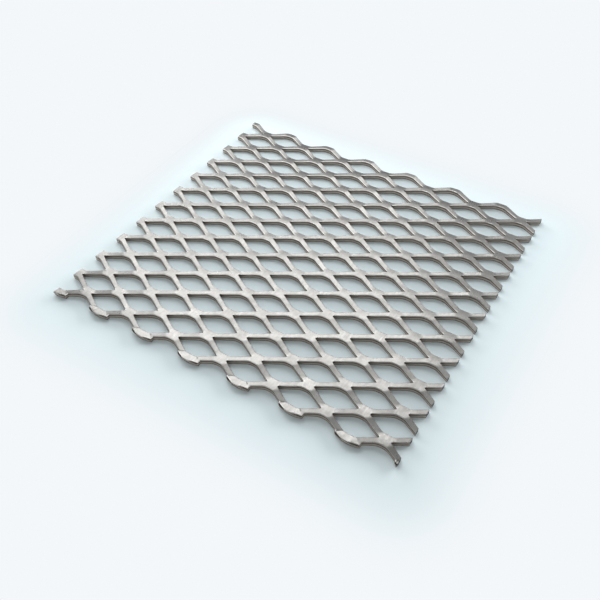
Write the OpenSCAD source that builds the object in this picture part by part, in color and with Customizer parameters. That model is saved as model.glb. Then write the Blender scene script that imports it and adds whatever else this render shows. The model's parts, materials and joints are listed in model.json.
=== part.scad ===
// Expanded metal sheet, rolled flat.
// One plate is slit in staggered rows and pulled open, so every strand and bond
// is the same piece of steel. X runs along the long way of the diamonds, Y along
// the short way and Z is up. The origin is at the middle of the underside.

/* [Mesh] */
// Long way of a diamond, from bond to bond along X
long_way = 43; // [36:0.5:60]
// Short way of a diamond, from bond to bond along Y
short_way = 25; // [20:0.5:36]
// Diamonds along the length of the sheet
cells_long = 7; // [3:1:9]
// Diamonds across the sheet
cells_short = 11; // [3:1:14]

/* [Strand] */
// Width of one strand, half the depth of a bond
strand_width = 4.7; // [3:0.1:6]
// Thickness of the plate, measured at the ends of the slits
plate_thickness = 3.7; // [1.5:0.1:5]
// Length of a bond between the ends of two slits
bond_length = 8.6; // [4:0.1:10]
// Blunt width that the slitting knife leaves at the end of a slit
slit_width = 0.8; // [0.2:0.1:1.2]
// Straight front edge of a strand where it crests
crest_flat = 7; // [5:0.1:12]
// Straight back edge of a strand where it dips
trough_flat = 8.8; // [7:0.1:12]
// Radius of the front edge where a strand bends into its crest
crest_bend = 5; // [2:0.5:9]
// Radius of the back edge where a strand bends into its trough
trough_bend = 8; // [2:0.5:10]
// Tilt that the rolls leave in every bond, front edge up, in degrees
bond_tilt = 5.5; // [0.5:0.5:8]

/* [Edges] */
// How far the left sheared edge lies outside the first line of bonds
left_overhang = 1.2; // [0.5:0.1:3]
// How far the right sheared edge stops short of the last line of bonds
right_setback = 7.2; // [4.5:0.1:12]
// Depth of the sliver of the next strand left under each front bond
lip_depth = 1.5; // [0.6:0.1:3]
// Length of that sliver along the front edge
lip_length = 19; // [10:0.5:22]
// Radius of the sheared front of the sliver
lip_radius = 18; // [14:0.5:40]

/* [Hidden] */
$fn = 96;
bend_steps = 3;

// Half pitches: the bonds sit where column and row are both odd or both even.
half_long = long_way / 2;
half_short = short_way / 2;
columns = 2 * cells_long;
rows = 2 * cells_short;

// The sheet before it is moved to the origin: first bond at x = 0, y = 0.
left_x = -left_overhang;
right_x = columns * half_long - right_setback;
front_y = -lip_depth;
back_y = rows * half_short;

// One diamond opening, from its centre.
opening_reach = half_long - bond_length / 2;
opening_height = half_short - strand_width;
function edge_slope(flat) = atan2(opening_height - slit_width / 2, opening_reach - flat / 2);

// One bend of an opening, from the slope of a strand round to the straight at its crest or trough.
function bend(flat, radius) = [
    for (step = [0 : bend_steps])
        let (
            slope = edge_slope(flat),
            turn = slope * (1 - step / bend_steps)
        )
            [
                flat / 2 - radius * tan(slope / 2) + radius * sin(turn),
                opening_height - radius * (1 - cos(turn))
            ]
];

// A quarter of an opening, from the end of its slit inwards.
function quarter(flat, radius) = concat([[opening_reach, slit_width / 2]], bend(flat, radius));

function mirrored(points, flip) = [for (p = points) [p[0] * flip[0], p[1] * flip[1]]];

function backwards(points) = [for (i = [len(points) - 1 : -1 : 0]) points[i]];

// A six-sided diamond: two blunt slit ends, two bends under a crest and two over a trough.
module opening() {
    polygon(concat(
        quarter(crest_flat, crest_bend),
        backwards(mirrored(quarter(crest_flat, crest_bend), [-1, 1])),
        mirrored(quarter(trough_flat, trough_bend), [-1, -1]),
        backwards(mirrored(quarter(trough_flat, trough_bend), [1, -1]))
    ));
}

// One zigzag strand seen from above: its band of the sheet, less the openings on both sides.
module strand_outline(row) {
    difference() {
        translate([left_x, row * half_short]) square([right_x - left_x, half_short]);
        for (side = [0, 1], column = [0 : columns])
            if ((row + side + column) % 2 == 1)
                translate([column * half_long, (row + side) * half_short]) opening();
    }
}

// The sliver under one front bond. It is sheared along a shallow curve in front and
// reaches back into the strand over its whole length.
lip_overlap = strand_width / 4;
lip_root = slit_width / 2 + lip_overlap;
lip_shoulder = lip_root + max(0, lip_length - bond_length) / 2 * tan(edge_slope(crest_flat));
module lip() {
    intersection() {
        translate([0, lip_radius - lip_depth]) circle(r = lip_radius);
        polygon([
            [-lip_length / 2, -lip_depth], [lip_length / 2, -lip_depth],
            [lip_length / 2, lip_shoulder], [bond_length / 2, lip_root],
            [-bond_length / 2, lip_root], [-lip_length / 2, lip_shoulder]
        ]);
    }
}

// All slivers along the front edge, cut off with the sheet at both ends.
module lips() {
    intersection() {
        translate([left_x, front_y]) square([right_x - left_x, half_short]);
        for (column = [0 : 2 : columns]) translate([column * half_long, 0]) lip();
    }
}

// Height of a strand's top along X, square to its tilt: low at a trough, high at a crest.
tilt_rise = half_short * tan(bond_tilt);
function wave(row) = [
    for (column = [-1 : columns + 1], side = [-1, 1])
        [
            column * half_long + side * bond_length / 2,
            cos(bond_tilt) * (plate_thickness + ((row + column) % 2 == 0 ? 0 : tilt_rise))
        ]
];

// Everything that lies under the rolled top of one strand.
module strand_section(row) {
    low = -2 * plate_thickness;
    points = wave(row);
    translate([0, row * half_short, 0]) rotate([-bond_tilt, 0, 0]) rotate([90, 0, 0])
        linear_extrude(height = 4 * half_short, center = true)
            polygon(concat(points, [[points[len(points) - 1][0], low], [points[0][0], low]]));
}

// One strand, flat underneath and tilted on top. The first one carries the slivers.
module strand(row) {
    intersection() {
        linear_extrude(plate_thickness + 2 * tilt_rise) {
            strand_outline(row);
            if (row == 0) lips();
        }
        strand_section(row);
    }
}

module expanded_sheet() {
    color("silver")
        translate([-(left_x + right_x) / 2, -(front_y + back_y) / 2, 0])
            for (row = [0 : rows - 1]) strand(row);
}

expanded_sheet();
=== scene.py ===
"""Expanded metal sheet, rolled flat: its dressed mesh, pale floor, soft light and camera."""

import json
import logging
import math
from dataclasses import dataclass
from enum import IntEnum

import bmesh
import bpy
from mathutils import Matrix, Vector

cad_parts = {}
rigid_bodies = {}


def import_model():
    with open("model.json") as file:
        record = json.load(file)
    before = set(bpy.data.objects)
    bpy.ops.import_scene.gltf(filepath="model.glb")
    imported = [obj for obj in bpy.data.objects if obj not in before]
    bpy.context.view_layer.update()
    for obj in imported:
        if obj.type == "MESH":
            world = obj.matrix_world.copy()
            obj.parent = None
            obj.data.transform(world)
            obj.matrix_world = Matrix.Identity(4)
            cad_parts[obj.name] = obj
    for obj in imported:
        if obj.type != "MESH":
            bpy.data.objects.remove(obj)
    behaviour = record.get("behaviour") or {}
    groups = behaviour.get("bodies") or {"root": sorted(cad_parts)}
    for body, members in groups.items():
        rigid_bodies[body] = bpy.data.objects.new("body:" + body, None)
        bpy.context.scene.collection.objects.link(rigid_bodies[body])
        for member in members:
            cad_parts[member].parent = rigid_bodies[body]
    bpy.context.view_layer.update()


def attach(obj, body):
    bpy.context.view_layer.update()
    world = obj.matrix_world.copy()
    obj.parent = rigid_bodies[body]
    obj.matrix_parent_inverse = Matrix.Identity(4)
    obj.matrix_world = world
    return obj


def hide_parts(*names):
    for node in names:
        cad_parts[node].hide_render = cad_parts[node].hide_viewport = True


LOG = logging.getLogger("expanded_sheet")
MM = 0.001

# Lengths in millimetres that differ by less than this are the same place along a strand.
SAME_MM = 1e-6
# Steps per millimetre in which the corners of a half wave are told apart.
KEY_STEPS = 1e4
# Reach in metres of a sheared edge, when it cuts and when its rim is gathered.
CUT_REACH, RIM_REACH = 1e-7, 2e-7
# Edges that turn by more degrees than this are shaded sharp.
SHARP_TURN = 8

Triple = tuple[float, float, float]


def clamp(value: float) -> float:
    """Holds a value between 0 and 1."""
    return min(1.0, max(0.0, value))


class Strand(IntEnum):
    """The two ways in which half a wave of a strand runs, seen from above with X to the right."""

    RISING = 0
    FALLING = 1


class Place(IntEnum):
    """Where half a wave lies along its strand."""

    INNER = 0
    RIGHT_END = 1
    LEFT_END = 2


class Line(IntEnum):
    """Which strand of the sheet half a wave belongs to."""

    INNER = 0
    FRONT = 1
    BACK = 2


class Zone(IntEnum):
    """What made a face of the sheet."""

    ROLLED = 0
    SLIT = 1
    SHEARED = 2
    TORN = 3


# Half waves of one line, and of one place in a line, in the order of their numbers.
UNITS_PER_PLACE = len(Strand)
UNITS_PER_LINE = len(Strand) * len(Place)
UNITS = UNITS_PER_LINE * len(Line)


@dataclass(frozen=True)
class SheetSizes:
    """Sizes of the sheet in millimetres and degrees.

    Names that the part's source has too mean the same there. The crest's bend, the lip's radius
    and the two tilts follow the photo more closely than the source does.
    """

    long_way: float = 43.0
    short_way: float = 25.0
    cells_long: int = 7
    cells_short: int = 11
    strand_width: float = 4.7
    plate_thickness: float = 3.7
    bond_length: float = 8.6
    slit_width: float = 0.8
    crest_flat: float = 7.0
    trough_flat: float = 8.8
    crest_bend: float = 11.0
    trough_bend: float = 8.0
    trough_tilt: float = 8.0
    crest_tilt: float = 4.5
    left_overhang: float = 1.2
    right_setback: float = 7.2
    lip_depth: float = 1.5
    lip_radius: float = 24.0
    lip_shift: float = 1.3
    lip_right: float = 9.5
    lip_left: float = 9.4
    lip_face: float = 1.1
    roll_width: float = 0.6
    roll_drop: float = 0.16
    back_edge: float = 0.28
    back_drop: float = 0.07

    @property
    def half_long(self) -> float:
        """Half the long way, from one line of bonds to the next."""
        return self.long_way / 2

    @property
    def half_short(self) -> float:
        """Half the short way, which is the pitch of the strands."""
        return self.short_way / 2

    @property
    def columns(self) -> int:
        """Half waves along one strand."""
        return 2 * self.cells_long

    @property
    def rows(self) -> int:
        """Strands of the sheet."""
        return 2 * self.cells_short

    @property
    def centre(self) -> tuple[float, float]:
        """Middle of the sheet, seen from its first bond."""
        left, right = -self.left_overhang, self.columns * self.half_long - self.right_setback
        return (left + right) / 2, (self.rows * self.half_short - self.lip_depth) / 2


@dataclass(frozen=True)
class LipStep:
    """Torn step between a lip and its strand, in millimetres from the middle of the trough.

    The right half lies on a rising half wave, the left half on a falling one.
    """

    right_begin: float = 2.0
    right_grow: float = 2.5
    right_lean: float = 0.14
    right_knee: float = 4.5
    right_inset: float = 0.25
    right_height: float = 0.5
    left_begin: float = 2.6
    left_run: float = 6.1
    left_from: float = -1.2
    left_travel: float = 2.9
    left_grow: float = 1.6
    left_height: float = 0.8
    tip_begin: float = 8.3
    tip_length: float = 1.1
    tip_gap: float = 0.3
    clear_height: float = 0.2
    clear_roll: float = 0.5
    brow_share: float = 0.8
    brow_drop: float = 0.1
    foot_inset: float = 0.7
    foot_share: float = 1.7


@dataclass(frozen=True)
class Station:
    """One cut across a strand: where it meets the front and the back edge, from the trough."""

    front: float
    back: float
    rise: float = 0.0
    front_joined: bool = False
    back_joined: bool = False
    lip: bool = False


class HalfWave:
    """Half a wave of a strand, from the middle of its trough to the middle of its crest."""

    # What made the faces round a section, from the front foot over the top and back below.
    KINDS = (Zone.SLIT,) * 4 + (Zone.ROLLED,) * 4 + (Zone.SLIT, Zone.SLIT, Zone.ROLLED)
    # Faces of the front side, the back side and a lip's step, and the points lightened for wear and
    # painted sheen.
    FRONT_FACES, BACK_FACE, STEP_FACE = 4, 9, 2
    LIGHTENED_POINTS = (1, 4, 5)
    # Heights of the points up the front side, as shares of it.
    SIDE_SHARES = (0.0, 0.36, 0.74, 1.0)
    # Where the twist from the trough's tilt to the crest's begins, and how far before the crest
    # it ends.
    TWIST_BEGIN, TWIST_END = 4.9, 4.6
    # Gap between a lip's end and the next station.
    LIP_GAP = 0.1

    def __init__(self, sizes: SheetSizes, strand: Strand, place: Place, line: Line) -> None:
        """Keeps the sizes and the choice of half wave.

        Args:
            sizes: Sizes of the sheet.
            strand: Whether it rises or falls to the right.
            place: Whether it is cut off at an end of the sheet.
            line: Whether it lies in the front, a middle or the back strand.
        """
        self.sizes = sizes
        self.strand = strand
        self.place = place
        self.line = line
        self.step = LipStep()
        self._made: dict[tuple[int, int, int], bmesh.types.BMVert] = {}

    def _front_edge(self, u: float, joined: bool) -> float:
        """Distance of the front edge from the slit at the trough.

        Args:
            u: Place along the strand, from the middle of the trough.
            joined: Whether the strand is still joined to the one in front of it there.

        Returns:
            The front edge's place across the strand.
        """
        s = self.sizes
        if joined:
            return 0.0
        flat, end = s.crest_flat / 2, s.bond_length / 2
        low, high = s.slit_width / 2, s.half_short - s.strand_width
        slope = math.atan2(high - low, s.half_long - flat - end)
        tangent = s.crest_bend * math.tan(slope / 2)
        corner = s.half_long - flat
        if u < end - SAME_MM:
            return 0.0
        if u >= corner + tangent:
            return high
        if u > corner - tangent * math.cos(slope):
            left = corner + tangent - u
            return high - s.crest_bend + math.sqrt(s.crest_bend**2 - left**2)
        return low + (u - end) * math.tan(slope)

    def _back_edge(self, u: float, joined: bool) -> float:
        """Distance of the back edge from the slit at the trough.

        Args:
            u: Place along the strand, from the middle of the trough.
            joined: Whether the strand is still joined to the one behind it there.

        Returns:
            The back edge's place across the strand.
        """
        s = self.sizes
        if joined:
            return s.half_short
        flat, end = s.trough_flat / 2, s.half_long - s.bond_length / 2
        low, high = s.strand_width, s.half_short - s.slit_width / 2
        slope = math.atan2(high - low, end - flat)
        tangent = s.trough_bend * math.tan(slope / 2)
        if u > end + SAME_MM:
            return s.half_short
        if u <= flat - tangent:
            return low
        if u < flat + tangent * math.cos(slope):
            past = u - flat + tangent
            return low + s.trough_bend - math.sqrt(s.trough_bend**2 - past**2)
        return low + (u - flat) * math.tan(slope)

    def _lip(self, u: float) -> Triple:
        """Sliver of the next strand that is left along the front edge of the sheet.

        Args:
            u: Place along the strand, from the middle of the trough.

        Returns:
            Places of the sliver's front edge and of the step behind it, and the step's height.
        """
        s, k = self.sizes, self.step
        rising = self.strand == Strand.RISING
        x = u - s.lip_shift if rising else u + s.lip_shift
        edge = -s.lip_depth + x * x / (2 * s.lip_radius)
        if rising:
            share = clamp((u - k.right_begin) / k.right_grow)
            lean = k.right_lean * (u - k.right_knee) - k.right_inset
            return edge, edge + share * (lean - edge), k.right_height * share
        share = clamp((u - k.left_begin) / k.left_run)
        step = edge if u <= k.left_begin else k.left_from + share * k.left_travel
        tip = max(0.0, (u - k.tip_begin) / k.tip_length)
        height = k.left_height * clamp((u - k.left_begin) / k.left_grow)
        return edge + tip * tip * (step - edge - k.tip_gap), step, height

    def _stations(self) -> list[Station]:
        """Lists the cuts across the strand, with the oblique creases at both of its ends.

        Returns:
            The stations, from the trough to the crest.
        """
        s = self.sizes
        end, top = s.bond_length / 2, s.half_long
        # Each pair is where a cut meets the front edge and the back edge.
        low = [(0.0, 0.0), (1.9, 0.9), (end, 2.0)]
        flank = [(end, 2.0), (5.2, 2.6), (6.3, 3.3), (7.4, 4.0)]
        flank += [(8.4, 4.6), (9.4, 5.4), (10.4, 6.6)]
        middle = [(12.4, 8.8), (14.6, 11.2)]
        head = [(top - 5.6, top - 8.6), (top - 4.4, top - 7.6), (top - 3.6, top - 6.8)]
        neck = [(top - 2.9, top - 5.8), (top - 2.3, top - 5.0), (top - 1.8, top - end)]
        crest = [(top - 1.8, top - end), (top - 0.9, top - 1.9), (top, top)]
        if self.line == Line.FRONT:
            lip_end = s.lip_right if self.strand == Strand.RISING else s.lip_left
            lips = [(0.0, 0.0), (1.5, 0.8), (3.0, 1.5), (4.0, 2.1), (4.9, 2.6), (6.0, 3.2)]
            lips += [(7.2, 3.7), (8.3, 4.1), (8.9, 4.4), (lip_end, 4.7)]
            out = [Station(f, b, 0.0, lip=True) for f, b in lips]
            flank = [(lip_end + self.LIP_GAP, 4.8), flank[-1]]
        else:
            out = [Station(f, b, 0.0, front_joined=True) for f, b in low]
        twist = top - self.TWIST_END - self.TWIST_BEGIN
        for f, b in flank + middle + head + neck:
            out.append(Station(f, b, clamp(((f + b) / 2 - self.TWIST_BEGIN) / twist)))
        for f, b in crest:
            out.append(Station(f, b, 1.0, back_joined=self.line != Line.BACK))
        return out

    def _section(self, st: Station) -> list[Triple]:
        """Points round the strand at one station, from the front foot over the top to the back.

        Args:
            st: The station.

        Returns:
            Points in millimetres, from the trough's bond.
        """
        s, k = self.sizes, self.step
        front = self._front_edge(st.front, st.front_joined)
        back = self._back_edge(st.back, st.back_joined)
        sliver, step = 0.0, 0.0
        if st.lip:
            sliver, front, step = self._lip(st.front)
        trough = math.tan(math.radians(s.trough_tilt))
        crest = math.tan(math.radians(s.crest_tilt))

        def top(share: float) -> Triple:
            """Point on the top, at a share of the way from the front edge to the back edge."""
            u, v = st.front + share * (st.back - st.front), front + share * (back - front)
            z = -trough * v * (1.0 - st.rise) - crest * (v - s.half_short) * st.rise
            return u, v, s.plate_thickness + z

        width = math.hypot(st.back - st.front, back - front)
        front_slit = abs(st.front - s.bond_length / 2) < SAME_MM and st.rise == 0.0
        plain = st.front_joined or front_slit
        roll, drop = (0.0, 0.0) if plain else (s.roll_width / width, s.roll_drop)
        back_slit = abs(st.back - s.half_long + s.bond_length / 2) < SAME_MM and st.rise == 1.0
        rim = 0.0 if st.back_joined or back_slit else s.back_edge
        edge, mid, inner = top(0.0), top(0.5 * roll), top(roll)
        half, heel, rear = top(roll + (1 - roll) * 0.5), top(1.0 - rim / width), top(1.0)
        points = [(edge[0], edge[1], 0.0)] * self.FRONT_FACES
        if not st.front_joined:
            points = [(edge[0], edge[1], share * (edge[2] - drop)) for share in self.SIDE_SHARES]
        if st.lip:
            drop *= k.clear_roll if step > k.clear_height else 1.0
            brow = edge[2] - k.brow_share * step - k.brow_drop
            points = [
                (st.front, sliver + k.foot_inset, 0.0),
                (st.front, sliver, brow - s.lip_face),
                (st.front, sliver, brow),
                (edge[0], edge[1], edge[2] - max(k.foot_share * step, drop)),
            ]
        points += [(edge[0], edge[1], edge[2] - drop), (mid[0], mid[1], mid[2] - 0.5 * drop)]
        points += [inner, half, heel]
        points.append((rear[0], rear[1], rear[2] - (s.back_drop if rim else 0.0)))
        points.append((rear[0], rear[1], 0.0))
        return points

    def _vertex(self, mesh: bmesh.types.BMesh, p: Triple) -> bmesh.types.BMVert:
        """Vertex at a point, made once.

        Args:
            mesh: The mesh that is being built.
            p: Point in millimetres.

        Returns:
            The vertex.
        """
        u = -p[0] if self.strand == Strand.FALLING else p[0]
        key = (round(u * KEY_STEPS), round(p[1] * KEY_STEPS), round(p[2] * KEY_STEPS))
        if key not in self._made:
            self._made[key] = mesh.verts.new((u * MM, p[1] * MM, p[2] * MM))
        return self._made[key]

    def build(self, name: str) -> bpy.types.Object:
        """Makes the half wave as a mesh object, with the zone of each face as an attribute.

        Args:
            name: Name of the object.

        Returns:
            The object, linked to no collection yet.
        """
        mesh = bmesh.new()
        zone = mesh.faces.layers.float.new("zone")
        wear_and_sheen = mesh.verts.layers.float.new("wear_and_sheen")
        stations = self._stations()
        sections = [self._section(st) for st in stations]
        for i in range(len(stations) - 1):
            here, there = stations[i], stations[i + 1]
            for j, kind in enumerate(self.KINDS):
                if j < self.FRONT_FACES and here.front_joined and there.front_joined:
                    continue
                if j == self.BACK_FACE and here.back_joined and there.back_joined:
                    continue
                k = (j + 1) % len(sections[i])
                verts: list[bmesh.types.BMVert] = []
                for across, point in ((i, j), (i + 1, j), (i + 1, k), (i, k)):
                    v = self._vertex(mesh, sections[across][point])
                    # These points are lightened: wear, and painted sheen along the rolled front
                    # edge.
                    lightened = point in self.LIGHTENED_POINTS and not here.front_joined
                    v[wear_and_sheen] = max(v[wear_and_sheen], 1.0 if lightened else 0.0)
                    if v not in verts:
                        verts.append(v)
                if len(verts) < 3 or mesh.faces.get(verts):
                    continue
                if self.strand == Strand.FALLING:
                    verts.reverse()
                torn = j == self.STEP_FACE and here.lip and there.lip
                mesh.faces.new(verts)[zone] = float(Zone.TORN if torn else kind)
        self._trim(mesh, zone)
        data = bpy.data.meshes.new(name)
        mesh.to_mesh(data)
        mesh.free()
        return bpy.data.objects.new(name, data)

    def _trim(self, mesh: bmesh.types.BMesh, zone: bmesh.types.BMLayerItem) -> None:
        """Cuts the half wave off at the sheet's left or right edge and closes the cut.

        Args:
            mesh: The mesh that is being built.
            zone: Layer that holds the zone of each face.
        """
        s = self.sizes
        if self.place == Place.INNER:
            return
        inside = s.right_setback if self.place == Place.RIGHT_END else s.left_overhang
        side = 1.0 if self.place == Place.RIGHT_END else -1.0
        at = (s.half_long - inside if self.strand == Strand.RISING else -inside) * MM
        geom = list(mesh.verts) + list(mesh.edges) + list(mesh.faces)
        bmesh.ops.bisect_plane(mesh, geom=geom, dist=CUT_REACH, plane_co=(at, 0, 0),
                               plane_no=(side, 0, 0), clear_outer=True)
        rim = [v for v in mesh.verts if abs(v.co.x - at) < RIM_REACH]
        links: dict[bmesh.types.BMVert, list[bmesh.types.BMVert]] = {v: [] for v in rim}
        for e in mesh.edges:
            if e.verts[0] in links and e.verts[1] in links:
                links[e.verts[0]].append(e.verts[1])
                links[e.verts[1]].append(e.verts[0])
        start = next((v for v in rim if len(links[v]) == 1), rim[0])
        chain, last = [start], None
        while True:
            following = [v for v in links[chain[-1]] if v is not last and v is not start]
            if not following or following[0] in chain:
                break
            last = chain[-1]
            chain.append(following[0])
        face = mesh.faces.new(chain)
        face.normal_update()
        if face.normal.x * side < 0:
            face.normal_flip()
        face[zone] = float(Zone.SHEARED)


class NodeWriter:
    """Adds nodes to a tree and links them, with plain values or other nodes' sockets as inputs."""

    # Sockets of a Mix node that is set to colours.
    MIX_A, MIX_B, MIX_RESULT = 6, 7, 2

    def __init__(self, tree: bpy.types.NodeTree) -> None:
        """Keeps the tree to write to."""
        self.tree = tree

    def add(self, kind: str, inputs: dict | None = None, **settings: object) -> bpy.types.Node:
        """Adds one node.

        Args:
            kind: Node type.
            inputs: Values or sockets, by the name or number of the input.
            **settings: Properties of the node.

        Returns:
            The node.
        """
        node = self.tree.nodes.new(kind)
        for key, value in settings.items():
            setattr(node, key, value)
        for key, value in (inputs or {}).items():
            if isinstance(value, bpy.types.NodeSocket):
                self.tree.links.new(value, node.inputs[key])
            else:
                node.inputs[key].default_value = value
        return node

    def math(self, operation: str, a: object, b: object = 0.0,
             c: object = 0.0) -> bpy.types.NodeSocket:
        """Adds a sum on numbers.

        Args:
            operation: The sum.
            a: First value or socket.
            b: Second value or socket.
            c: Third value or socket.

        Returns:
            The result's socket.
        """
        return self.add("ShaderNodeMath", {0: a, 1: b, 2: c}, operation=operation).outputs[0]

    def vector(self, operation: str, inputs: dict) -> bpy.types.NodeSocket:
        """Adds a sum on vectors.

        Args:
            operation: The sum.
            inputs: Values or sockets, by the name or number of the input.

        Returns:
            The result's socket.
        """
        return self.add("ShaderNodeVectorMath", inputs, operation=operation).outputs[0]

    def noise(self, place: bpy.types.NodeSocket, scale: float, detail: float,
              roughness: float = 0.5) -> bpy.types.NodeSocket:
        """Adds a noise texture.

        Args:
            place: Where the texture is read.
            scale: Its scale.
            detail: Its octaves.
            roughness: How much the finer octaves count.

        Returns:
            The socket of its value.
        """
        inputs = {"Vector": place, "Scale": scale, "Detail": detail, "Roughness": roughness}
        return self.add("ShaderNodeTexNoise", inputs).outputs[0]

    def ease(self, value: bpy.types.NodeSocket, width: float) -> bpy.types.NodeSocket:
        """Adds a smooth step from 0 to 1.

        Args:
            value: The value to ease.
            width: Value at which the result is 1.

        Returns:
            The result's socket.
        """
        inputs = {"Value": value, "From Max": width}
        return self.add("ShaderNodeMapRange", inputs, interpolation_type="SMOOTHSTEP").outputs[0]

    def blend(self, share: bpy.types.NodeSocket, a: object, b: object) -> bpy.types.NodeSocket:
        """Adds a mix of two colours.

        Args:
            share: Share of the second colour.
            a: First colour, as three numbers or a socket.
            b: Second colour, as three numbers or a socket.

        Returns:
            The result's socket.
        """
        inputs = {"Factor": share}
        for key, value in ((self.MIX_A, a), (self.MIX_B, b)):
            inputs[key] = (*value, 1.0) if isinstance(value, tuple) else value
        return self.add("ShaderNodeMix", inputs, data_type="RGBA").outputs[self.MIX_RESULT]


class LatticeTree:
    """Geometry nodes that repeat the half waves along every strand and weld them into one sheet."""

    INPUTS = {"Half long way": 0.0215, "Half short way": 0.0125, "Half waves": 14.0,
              "Strands": 22.0, "Middle X": 0.0, "Middle Y": 0.0, "Unevenness": 0.00005, "Seed": 3.0}
    # How far whole numbers may be off, in the nodes' sums and in the zone attribute.
    NEAR_NUMBER, NEAR_ZONE = 0.1, 0.4
    # Distance in metres within which half waves are welded.
    WELD = 0.00002
    # Scale and detail of the unevenness, and the height in metres above which it starts.
    UNEVEN_SCALE, UNEVEN_DETAIL, UNEVEN_ABOVE = 90.0, 2.0, 0.0004

    def __init__(self, units: bpy.types.Collection,
                 finishes: dict[Zone, bpy.types.Material]) -> None:
        """Builds the tree.

        Args:
            units: The half waves, in the order of their numbers.
            finishes: Finish of the faces of each zone.
        """
        self.tree = bpy.data.node_groups.new("expanded_lattice", "GeometryNodeTree")
        face = self.tree.interface
        face.new_socket("Geometry", in_out="INPUT", socket_type="NodeSocketGeometry")
        self.sockets = {n: face.new_socket(n, in_out="INPUT", socket_type="NodeSocketFloat")
                        for n in self.INPUTS}
        face.new_socket("Geometry", in_out="OUTPUT", socket_type="NodeSocketGeometry")
        w = NodeWriter(self.tree)
        given = w.add("NodeGroupInput").outputs
        dressed = self._uneven(w, given, self._welded(w, given, units))
        named = w.add("GeometryNodeInputNamedAttribute", {"Name": "zone"}, data_type="FLOAT")
        for kind, finish in finishes.items():
            chosen = w.math("COMPARE", named.outputs[0], float(kind), self.NEAR_ZONE)
            inputs = {"Geometry": dressed, "Selection": chosen, "Material": finish}
            dressed = w.add("GeometryNodeSetMaterial", inputs).outputs[0]
        w.add("NodeGroupOutput", {"Geometry": dressed})

    def _welded(self, w: NodeWriter, given: bpy.types.NodeOutputs,
                units: bpy.types.Collection) -> bpy.types.NodeSocket:
        """Sets a half wave at every place along every strand and welds them.

        Args:
            w: Writer of the tree.
            given: The tree's named inputs.
            units: The half waves, in the order of their numbers.

        Returns:
            The welded sheet's socket.
        """
        per_strand = w.math("ADD", given["Half waves"], 1.0)
        index = w.add("GeometryNodeInputIndex").outputs[0]
        strand = w.math("FLOOR", w.math("DIVIDE", w.math("ADD", index, 0.5), per_strand))
        along = w.math("SUBTRACT", index, w.math("MULTIPLY", strand, per_strand))
        column = w.math("SUBTRACT", along, 1.0)
        parity = w.math("PINGPONG", w.math("ADD", column, strand), 1.0)
        falling = w.math("GREATER_THAN", parity, 0.5)
        bond = w.math("MULTIPLY", w.math("ADD", column, falling), given["Half long way"])
        x = w.math("SUBTRACT", bond, given["Middle X"])
        slit = w.math("MULTIPLY", strand, given["Half short way"])
        y = w.math("SUBTRACT", slit, given["Middle Y"])
        place = w.add("ShaderNodeCombineXYZ", {0: x, 1: y}).outputs[0]
        count = w.math("MULTIPLY", given["Strands"], per_strand)
        points = w.add("GeometryNodePoints", {"Count": count, "Position": place}).outputs[0]
        last_column = w.math("SUBTRACT", given["Half waves"], 1.0)
        last_strand = w.math("SUBTRACT", given["Strands"], 1.0)
        number = falling
        for value, target, step in (
            (column, last_column, Place.RIGHT_END * UNITS_PER_PLACE),
            (along, 0.0, Place.LEFT_END * UNITS_PER_PLACE),
            (strand, 0.0, Line.FRONT * UNITS_PER_LINE),
            (strand, last_strand, Line.BACK * UNITS_PER_LINE),
        ):
            hit = w.math("COMPARE", value, target, self.NEAR_NUMBER)
            number = w.math("MULTIPLY_ADD", hit, float(step), number)
        inputs = {"Collection": units, "Separate Children": True, "Reset Children": False}
        parts = w.add("GeometryNodeCollectionInfo", inputs).outputs[0]
        inputs = {"Points": points, "Instance": parts, "Pick Instance": True,
                  "Instance Index": number}
        copies = w.add("GeometryNodeInstanceOnPoints", inputs).outputs[0]
        solid = w.add("GeometryNodeRealizeInstances", {"Geometry": copies}).outputs[0]
        inputs = {"Geometry": solid, "Distance": self.WELD}
        return w.add("GeometryNodeMergeByDistance", inputs).outputs[0]

    def _uneven(self, w: NodeWriter, given: bpy.types.NodeOutputs,
                sheet: bpy.types.NodeSocket) -> bpy.types.NodeSocket:
        """Makes the sheet a little uneven, but for its foot.

        Args:
            w: Writer of the tree.
            given: The tree's named inputs.
            sheet: The sheet's socket.

        Returns:
            The uneven sheet's socket.
        """
        where = w.add("GeometryNodeInputPosition").outputs[0]
        inputs = {"Vector": where, "W": given["Seed"], "Scale": self.UNEVEN_SCALE,
                  "Detail": self.UNEVEN_DETAIL}
        noise = w.add("ShaderNodeTexNoise", inputs, noise_dimensions="4D").outputs["Color"]
        spread = w.vector("SUBTRACT", {0: noise, 1: (0.5, 0.5, 0.5)})
        height = w.add("ShaderNodeSeparateXYZ", {0: where}).outputs[2]
        above = w.math("GREATER_THAN", height, self.UNEVEN_ABOVE)
        lifted = w.math("MULTIPLY", above, given["Unevenness"])
        shift = w.vector("SCALE", {0: spread, "Scale": lifted})
        return w.add("GeometryNodeSetPosition", {"Geometry": sheet, "Offset": shift}).outputs[0]

    def apply(self, obj: bpy.types.Object, values: dict[str, float]) -> bpy.types.Mesh:
        """Runs the tree on an object and gives its result as a plain mesh.

        Args:
            obj: Object to run it on.
            values: Values of the tree's named inputs.

        Returns:
            The mesh.
        """
        modifier = obj.modifiers.new("lattice", "NODES")
        modifier.node_group = self.tree
        for name, value in {**self.INPUTS, **values}.items():
            modifier[self.sockets[name].identifier] = value
        graph = bpy.context.evaluated_depsgraph_get()
        mesh = bpy.data.meshes.new_from_object(
            obj.evaluated_get(graph), preserve_all_data_layers=True, depsgraph=graph)
        obj.modifiers.remove(modifier)
        return mesh


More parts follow.
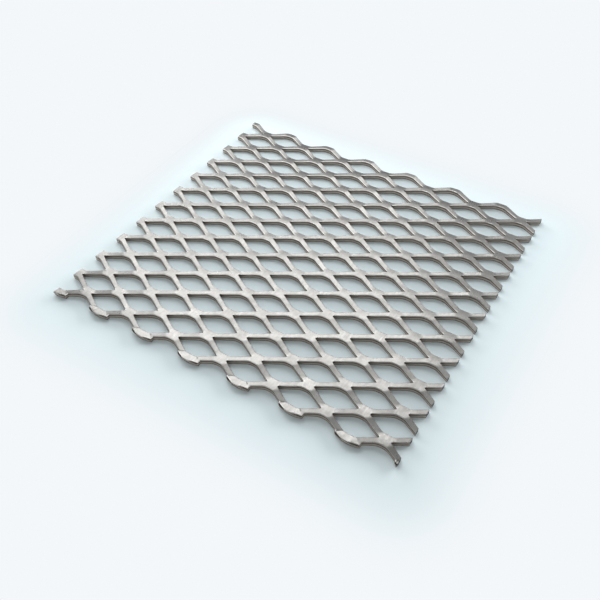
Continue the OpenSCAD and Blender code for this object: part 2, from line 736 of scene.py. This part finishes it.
class MillGrain:
    """Shader group for what rolling and slitting leave in steel: mottle, streaks and relief."""

    # Shares of the fine grain in the mottle and in the relief.
    FINE_IN_MOTTLE, FINE_IN_HEIGHT = 0.55, 0.6
    BROAD_IN_MOTTLE, STREAK_IN_HEIGHT = 0.45, 0.4

    def __init__(self) -> None:
        """Builds the group."""
        self.tree = bpy.data.node_groups.new("mill_grain", "ShaderNodeTree")
        face = self.tree.interface
        face.new_socket("Place", in_out="INPUT", socket_type="NodeSocketVector")
        face.new_socket("Stretch", in_out="INPUT", socket_type="NodeSocketVector")
        for name in ("Mottle", "Streak", "Height"):
            face.new_socket(name, in_out="OUTPUT", socket_type="NodeSocketFloat")
        w = NodeWriter(self.tree)
        given = w.add("NodeGroupInput").outputs
        fine = w.noise(given["Place"], scale=420.0, detail=6.0, roughness=0.62)
        broad = w.noise(given["Place"], scale=75.0, detail=3.0)
        drawn = w.vector("MULTIPLY", {0: given["Place"], 1: given["Stretch"]})
        streak = w.noise(drawn, scale=1.0, detail=4.0, roughness=0.6)
        mottle = w.math("ADD", w.math("MULTIPLY", fine, self.FINE_IN_MOTTLE),
                        w.math("MULTIPLY", broad, self.BROAD_IN_MOTTLE))
        height = w.math("ADD", w.math("MULTIPLY", fine, self.FINE_IN_HEIGHT),
                        w.math("MULTIPLY", streak, self.STREAK_IN_HEIGHT))
        w.add("NodeGroupOutput", {"Mottle": mottle, "Streak": streak, "Height": height})


@dataclass(frozen=True)
class SteelFinish:
    """Bare mill steel, darker or lighter by how it was worked and by painted shade, and lighter on
    its edges for wear and painted sheen.
    """

    name: str
    dark: Triple
    light: Triple
    wear_and_sheen_colour: Triple
    roughness: tuple[float, float]
    stretch: Triple
    streaks: float
    relief: float = 0.25
    relief_depth: float = 0.0001
    contrast: tuple[float, float] = (0.34, 0.66)

    def material(self, grain: MillGrain) -> bpy.types.Material:
        """Makes the material.

        Args:
            grain: The group that gives mottling, streaks and relief.

        Returns:
            The material.
        """
        mat = bpy.data.materials.new(self.name)
        mat.use_nodes = True
        mat.node_tree.nodes.clear()
        w = NodeWriter(mat.node_tree)
        place = w.add("ShaderNodeTexCoord").outputs["Object"]
        inputs = {"Place": place, "Stretch": self.stretch}
        steel = w.add("ShaderNodeGroup", inputs, node_tree=grain.tree).outputs
        inputs = {"Factor": self.streaks, "A": steel["Mottle"], "B": steel["Streak"]}
        share = w.add("ShaderNodeMix", inputs, data_type="FLOAT").outputs[0]
        inputs = {"Value": share, "From Min": self.contrast[0], "From Max": self.contrast[1]}
        spread = w.add("ShaderNodeMapRange", inputs).outputs[0]
        bare = w.blend(spread, self.dark, self.light)
        # Lighter colour on the edges: wear, and painted sheen on the rolled front edges.
        wear_and_sheen = w.add("ShaderNodeAttribute", attribute_name="wear_and_sheen").outputs["Fac"]
        lightened = w.blend(wear_and_sheen, bare, self.wear_and_sheen_colour)
        inputs = {"Value": spread, "To Min": self.roughness[1], "To Max": self.roughness[0]}
        rough = w.add("ShaderNodeMapRange", inputs).outputs[0]
        inputs = {"Strength": self.relief, "Distance": self.relief_depth, "Height": steel["Height"]}
        bump = w.add("ShaderNodeBump", inputs).outputs[0]
        inputs = {"Metallic": 1.0, "Base Color": lightened, "Roughness": rough, "Normal": bump}
        shader = w.add("ShaderNodeBsdfPrincipled", inputs).outputs[0]
        w.add("ShaderNodeOutputMaterial", {"Surface": shader})
        return mat


FINISHES_AND_PAINTED_LIGHT = {
    # Rolled tops: the lighter edge colour is wear, and painted sheen on the rolled front edges.
    Zone.ROLLED: SteelFinish(
        "rolled_steel", dark=(0.155, 0.151, 0.144), light=(0.245, 0.242, 0.235),
        wear_and_sheen_colour=(0.30, 0.297, 0.29), roughness=(0.25, 0.34), stretch=(900.0, 70.0, 70.0),
        streaks=0.35),
    # Slit sides: dark sheared steel, and painted shade on faces turned away from the lamps.
    Zone.SLIT: SteelFinish(
        "slit_side", dark=(0.03, 0.0245, 0.02), light=(0.13, 0.109, 0.092),
        wear_and_sheen_colour=(0.70, 0.60, 0.53), roughness=(0.45, 0.6), stretch=(60.0, 60.0, 1500.0),
        streaks=0.75),
    # Sheared ends: dark cut steel, and painted shade on faces turned away from the lamps.
    Zone.SHEARED: SteelFinish(
        "sheared_end", dark=(0.022, 0.0175, 0.0135), light=(0.075, 0.062, 0.05),
        wear_and_sheen_colour=(0.12, 0.10, 0.085), roughness=(0.45, 0.6), stretch=(1500.0, 1500.0, 60.0),
        streaks=0.75),
    Zone.TORN: SteelFinish(
        "torn_lip", dark=(0.10, 0.098, 0.094), light=(0.27, 0.267, 0.26),
        wear_and_sheen_colour=(0.31, 0.307, 0.30), roughness=(0.3, 0.45), stretch=(300.0, 1100.0, 70.0),
        streaks=0.6, relief=0.9),
}


class ExpandedSheet:
    """The sheet itself: one piece of steel, made of repeated half waves."""

    def __init__(self, sizes: SheetSizes) -> None:
        """Keeps the sizes."""
        self.sizes = sizes

    def build(self) -> bpy.types.Object:
        """Makes the sheet as one mesh.

        Returns:
            The sheet, at the origin.
        """
        s = self.sizes
        units = bpy.data.collections.new("half_waves")
        for number in range(UNITS):
            strand = Strand(number % UNITS_PER_PLACE)
            place = Place(number // UNITS_PER_PLACE % len(Place))
            line = Line(number // UNITS_PER_LINE)
            unit = HalfWave(s, strand, place, line).build(f"half_wave_{number:02d}")
            units.objects.link(unit)
        grain = MillGrain()
        seed = bpy.data.objects.new("lattice_seed", bpy.data.meshes.new("lattice_seed"))
        bpy.context.scene.collection.objects.link(seed)
        x, y = s.centre
        finishes = {zone: finish.material(grain) for zone, finish in FINISHES_AND_PAINTED_LIGHT.items()}
        tree = LatticeTree(units, finishes)
        mesh = tree.apply(seed, {
            "Half long way": s.half_long * MM, "Half short way": s.half_short * MM,
            "Half waves": float(s.columns), "Strands": float(s.rows),
            "Middle X": x * MM, "Middle Y": y * MM})
        bpy.data.objects.remove(seed)
        for unit in list(units.objects):
            bpy.data.objects.remove(unit)
        bpy.data.collections.remove(units)
        mesh.name = "sheet_mesh"
        mesh.shade_smooth()
        mesh.set_sharp_from_angle(angle=math.radians(SHARP_TURN))
        sheet = bpy.data.objects.new("steel_sheet", mesh)
        bpy.context.scene.collection.objects.link(sheet)
        LOG.info("steel_sheet: %d faces", len(mesh.polygons))
        return sheet

    def dress(self, sheet: bpy.types.Object) -> None:
        """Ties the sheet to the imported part.

        Args:
            sheet: The sheet.
        """
        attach(sheet, "root")
        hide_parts("expanded_sheet")


@dataclass(frozen=True)
class Softbox:
    """One soft lamp that faces the sheet, with lengths in metres and power in watts."""

    name: str
    towards: Triple
    away: float
    size: tuple[float, float]
    power: float

    def build(self) -> None:
        """Hangs the lamp."""
        lamp = bpy.data.lights.new(self.name, "AREA")
        lamp.shape = "RECTANGLE"
        lamp.size, lamp.size_y, lamp.energy = *self.size, self.power
        obj = bpy.data.objects.new(self.name, lamp)
        bpy.context.scene.collection.objects.link(obj)
        along = Vector(self.towards).normalized()
        obj.location = along * self.away
        obj.rotation_euler = along.to_track_quat("Z", "Y").to_euler()


# The low lamps throw the shadows, the others are what the tops of the strands mirror.
SOFTBOXES = (
    Softbox("low_left", (-0.886, 0.413, 0.208), 2.6, (2.4, 0.8), 74.0),
    Softbox("low_right", (0.413, 0.887, 0.208), 2.6, (2.4, 0.8), 90.0),
    Softbox("back_softbox", (-0.42, 0.57, 0.71), 0.8, (0.68, 0.43), 3.7),
    Softbox("back_right", (0.10, 0.71, 0.69), 1.3, (0.8, 0.6), 1.3),
    Softbox("left_high", (-0.44, 0.14, 0.88), 1.1, (0.4, 0.4), 0.8),
    Softbox("front_fill", (0.05, -0.65, 0.76), 1.1, (0.8, 0.8), 1.3),
)


@dataclass(frozen=True)
class Studio:
    """Pale floor, soft light from behind and the camera, in metres."""

    floor_reach: float = 4.0
    floor_roughness: float = 0.9
    floor_specular: float = 0.1
    mottle_scale: float = 9.0
    mottle_detail: float = 2.0
    near_colour: Triple = (0.73, 0.845, 0.88)
    light_colour: Triple = (0.75, 0.86, 0.895)
    far_colour: Triple = (0.905, 0.93, 0.956)
    # Painted shade: a darker, bluer ring of backdrop next to the lit floor.
    painted_shade_colour: Triple = (0.80, 0.88, 0.91)
    halo_middle: Triple = (0.006, -0.010, 0.0)
    halo_start: Triple = (0.142, 0.130, 0.0)
    halo_width: float = 0.05
    painted_shade_width: float = 0.075
    world_colour: Triple = (0.96, 0.985, 1.0)
    plain_world: float = 0.16
    mirrored_world: float = 0.20
    front_world: float = 0.8
    front_reach: float = -0.4
    seen_world: float = 0.785
    lens: float = 41.7
    sensor: float = 36.0
    clip: tuple[float, float] = (0.01, 50.0)
    look: Triple = (-0.37880, 0.57606, -0.72434)
    right: Triple = (0.84827, 0.52904, -0.02377)
    eye_mm: Triple = (217.41, -352.44, 385.67)

    def floor(self) -> None:
        """Lays the floor: lit and pale blue round the sheet, nearly white further off, and in
        between a ring of painted shade, darker and bluer.
        """
        mesh = bpy.data.meshes.new("floor")
        reach = self.floor_reach
        corners = [(-reach, -reach, 0), (reach, -reach, 0), (reach, reach, 0), (-reach, reach, 0)]
        mesh.from_pydata(corners, [], [(0, 1, 2, 3)])
        obj = bpy.data.objects.new("floor", mesh)
        bpy.context.scene.collection.objects.link(obj)
        mat = bpy.data.materials.new("pale_floor")
        mat.use_nodes = True
        tree = mat.node_tree
        w = NodeWriter(tree)
        place = w.add("ShaderNodeTexCoord").outputs["Object"]
        moved = w.vector("SUBTRACT", {0: place, 1: self.halo_middle})
        aside = w.vector("ABSOLUTE", {0: moved})
        beyond = w.vector("SUBTRACT", {0: aside, 1: self.halo_start})
        outside = w.vector("MAXIMUM", {0: beyond, 1: (0.0, 0.0, 0.0)})
        away = w.add("ShaderNodeVectorMath", {0: outside}, operation="LENGTH").outputs["Value"]
        camera_ray = w.add("ShaderNodeLightPath").outputs["Is Camera Ray"]
        seen = w.math("MULTIPLY", w.ease(away, self.halo_width), camera_ray)
        mottle = w.noise(place, self.mottle_scale, self.mottle_detail)
        lit = tree.nodes["Principled BSDF"]
        tint = w.blend(mottle, self.near_colour, self.light_colour)
        tree.links.new(tint, lit.inputs["Base Color"])
        lit.inputs["Roughness"].default_value = self.floor_roughness
        lit.inputs["Specular IOR Level"].default_value = self.floor_specular
        # Painted shade next to the lit floor, fading to the far colour.
        paper_and_shade = w.blend(w.ease(away, self.painted_shade_width), self.painted_shade_colour, self.far_colour)
        plain = w.add("ShaderNodeEmission", {"Color": paper_and_shade}).outputs[0]
        both = w.add("ShaderNodeMixShader", {0: seen, 1: lit.outputs[0], 2: plain}).outputs[0]
        tree.links.new(both, tree.nodes["Material Output"].inputs["Surface"])
        mesh.materials.append(mat)

    def lights(self) -> None:
        """Makes the world, which is stronger where it is mirrored or seen, and hangs the lamps."""
        world = bpy.data.worlds.new("studio")
        world.use_nodes = True
        w = NodeWriter(world.node_tree)
        ray = w.add("ShaderNodeLightPath").outputs
        direction = w.add("ShaderNodeTexCoord").outputs["Generated"]
        facing = w.add("ShaderNodeSeparateXYZ", {0: direction}).outputs[1]
        inputs = {"Value": facing, "From Min": 0.0, "From Max": self.front_reach}
        front = w.add("ShaderNodeMapRange", inputs).outputs[0]
        around = w.math("MULTIPLY_ADD", front, self.front_world, self.mirrored_world)
        mirrored = w.math("MULTIPLY_ADD", ray["Is Glossy Ray"], around, self.plain_world)
        strength = w.math("MULTIPLY_ADD", ray["Is Camera Ray"], self.seen_world, mirrored)
        sky = world.node_tree.nodes["Background"]
        sky.inputs["Color"].default_value = (*self.world_colour, 1.0)
        world.node_tree.links.new(strength, sky.inputs["Strength"])
        bpy.context.scene.world = world
        for softbox in SOFTBOXES:
            softbox.build()

    def camera(self, middle: tuple[float, float]) -> None:
        """Places the camera.

        Args:
            middle: Middle of the lattice in metres.
        """
        data = bpy.data.cameras.new("camera")
        data.lens, data.sensor_width = self.lens, self.sensor
        obj = bpy.data.objects.new("camera", data)
        bpy.context.scene.collection.objects.link(obj)
        look = Vector(self.look).normalized()
        right = Vector(self.right)
        right = (right - look * right.dot(look)).normalized()
        up = right.cross(look)
        turn = Matrix((right, up, -look)).transposed().to_4x4()
        at = Vector(self.eye_mm) * MM + Vector((*middle, 0.0))
        obj.matrix_world = Matrix.Translation(at) @ turn
        data.clip_start, data.clip_end = self.clip
        bpy.context.scene.camera = obj


def main() -> None:
    """Builds the sheet, the floor, the light and the camera in order."""
    logging.basicConfig(level=logging.INFO, format="%(name)s: %(message)s")
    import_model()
    bpy.context.scene.view_settings.view_transform = "Standard"
    sizes = SheetSizes()
    sheet = ExpandedSheet(sizes)
    sheet.dress(sheet.build())
    studio = Studio()
    studio.floor()
    studio.lights()
    x, y = sizes.centre
    lattice_x, lattice_y = sizes.columns * sizes.half_long / 2, sizes.rows * sizes.half_short / 2
    studio.camera(((lattice_x - x) * MM, (lattice_y - y) * MM))


if __name__ == "__main__":
    main()
